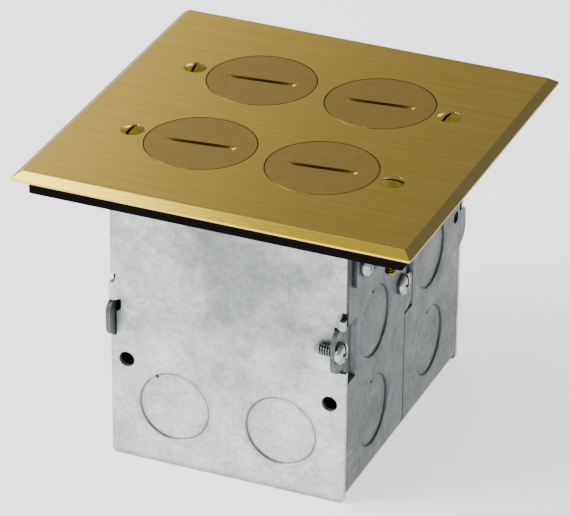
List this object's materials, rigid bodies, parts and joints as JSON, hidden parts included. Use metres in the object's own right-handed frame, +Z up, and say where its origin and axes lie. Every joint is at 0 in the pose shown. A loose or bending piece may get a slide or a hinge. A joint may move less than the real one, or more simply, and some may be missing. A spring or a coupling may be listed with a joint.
{
  "type": "floor socket box",
  "caption": "Steel sectional floor box with duplex receptacles under a bevelled brass cover plate with threaded screw plugs.",
  "frame": {"origin": "middle of the box's underside", "axes": "+X along each receptacle, +Y from the front gang to the back gang, +Z up through the cover plate"},
  "size_m": [0.1254, 0.1254, 0.098],
  "materials": {
    "galvanised_sheet": "hot-dip galvanised sheet, dull grey with faint spangle",
    "galvanised_plate": "hot-dip galvanised sheet, pale grey with faint spangle and specks",
    "zinc_screw": "bright zinc plated steel",
    "green_screw": "green dyed zinc plating",
    "brushed_brass": "brushed in straight lines along X, bevel polished",
    "plug_brass": "fine turned brass",
    "brass_screw": "bright brass",
    "contact_brass": "rolled spring brass",
    "gasket_rubber": "closed-cell neoprene, black",
    "seal_rubber": "black nitrile",
    "face_plastic": "brown moulded thermoplastic",
    "base_plastic": "dark moulded thermoplastic",
    "strap_steel": "zinc plated steel strip"
  },
  "bodies": {
    "root": {"box_section_front": "galvanised_sheet", "side_plate_front": "galvanised_plate", "box_section_back": "galvanised_sheet", "side_plate_back": "galvanised_plate", "side_plate_screws": "zinc_screw", "gang_screws": "zinc_screw", "bracket_screws": "zinc_screw", "grounding_screw": "green_screw", "cover_plate": "brushed_brass", "cover_gasket": "gasket_rubber", "cover_screws": "brass_screw", "receptacle_face_front": "face_plastic", "receptacle_base_front": "base_plastic", "mounting_strap_front": "strap_steel", "hot_contacts_front": "contact_brass", "neutral_contacts_front": "contact_brass", "ground_contacts_front": "contact_brass", "hot_terminal_screws_front": "brass_screw", "neutral_terminal_screws_front": "zinc_screw", "grounding_terminal_screw_front": "green_screw", "receptacle_rivets_front": "contact_brass", "receptacle_face_back": "face_plastic", "receptacle_base_back": "base_plastic", "mounting_strap_back": "strap_steel", "hot_contacts_back": "contact_brass", "neutral_contacts_back": "contact_brass", "ground_contacts_back": "contact_brass", "hot_terminal_screws_back": "brass_screw", "neutral_terminal_screws_back": "zinc_screw", "grounding_terminal_screw_back": "green_screw", "receptacle_rivets_back": "contact_brass"},
    "plug_front_left": {"plug_front_left": "plug_brass"},
    "seal_front_left": {"plug_seal_front_left": "seal_rubber"},
    "ear_front_left": {"ear_bracket_front_left": "galvanised_sheet"},
    "plug_front_right": {"plug_front_right": "plug_brass"},
    "seal_front_right": {"plug_seal_front_right": "seal_rubber"},
    "ear_front_right": {"ear_bracket_front_right": "galvanised_sheet"},
    "plug_back_left": {"plug_back_left": "plug_brass"},
    "seal_back_left": {"plug_seal_back_left": "seal_rubber"},
    "ear_back_left": {"ear_bracket_back_left": "galvanised_sheet"},
    "plug_back_right": {"plug_back_right": "plug_brass"},
    "seal_back_right": {"plug_seal_back_right": "seal_rubber"},
    "ear_back_right": {"ear_bracket_back_right": "galvanised_sheet"}
  },
  "joints": [
    {"name": "plug_rise_front_left", "type": "slide", "parent": "root", "child": "seal_front_left", "axis": [0, 0, 1], "range_m": [0, 0.00452]},
    {"name": "plug_turn_front_left", "type": "hinge", "parent": "seal_front_left", "child": "plug_front_left", "pos_m": [-0.01945, -0.02302, 0.0972], "axis": [0, 0, 1], "range_deg": [0, 1280]},
    {"name": "ear_slide_front_left", "type": "slide", "parent": "root", "child": "ear_front_left", "axis": [0, 0, -1], "range_m": [0, 0.006]},
    {"name": "plug_rise_front_right", "type": "slide", "parent": "root", "child": "seal_front_right", "axis": [0, 0, 1], "range_m": [0, 0.00452]},
    {"name": "plug_turn_front_right", "type": "hinge", "parent": "seal_front_right", "child": "plug_front_right", "pos_m": [0.01945, -0.02302, 0.0972], "axis": [0, 0, 1], "range_deg": [0, 1280]},
    {"name": "ear_slide_front_right", "type": "slide", "parent": "root", "child": "ear_front_right", "axis": [0, 0, -1], "range_m": [0, 0.006]},
    {"name": "plug_rise_back_left", "type": "slide", "parent": "root", "child": "seal_back_left", "axis": [0, 0, 1], "range_m": [0, 0.00452]},
    {"name": "plug_turn_back_left", "type": "hinge", "parent": "seal_back_left", "child": "plug_back_left", "pos_m": [-0.01945, 0.02302, 0.0972], "axis": [0, 0, 1], "range_deg": [0, 1280]},
    {"name": "ear_slide_back_left", "type": "slide", "parent": "root", "child": "ear_back_left", "axis": [0, 0, -1], "range_m": [0, 0.006]},
    {"name": "plug_rise_back_right", "type": "slide", "parent": "root", "child": "seal_back_right", "axis": [0, 0, 1], "range_m": [0, 0.00452]},
    {"name": "plug_turn_back_right", "type": "hinge", "parent": "seal_back_right", "child": "plug_back_right", "pos_m": [0.01945, 0.02302, 0.0972], "axis": [0, 0, 1], "range_deg": [0, 1280]},
    {"name": "ear_slide_back_right", "type": "slide", "parent": "root", "child": "ear_back_right", "axis": [0, 0, -1], "range_m": [0, 0.006]}
  ],
  "couplings": [
    {"joint": "plug_rise_front_left", "follows": "plug_turn_front_left", "m_per_rad": 0.00020213},
    {"joint": "plug_rise_front_right", "follows": "plug_turn_front_right", "m_per_rad": 0.00020213},
    {"joint": "plug_rise_back_left", "follows": "plug_turn_back_left", "m_per_rad": 0.00020213},
    {"joint": "plug_rise_back_right", "follows": "plug_turn_back_right", "m_per_rad": 0.00020213}
  ]
}
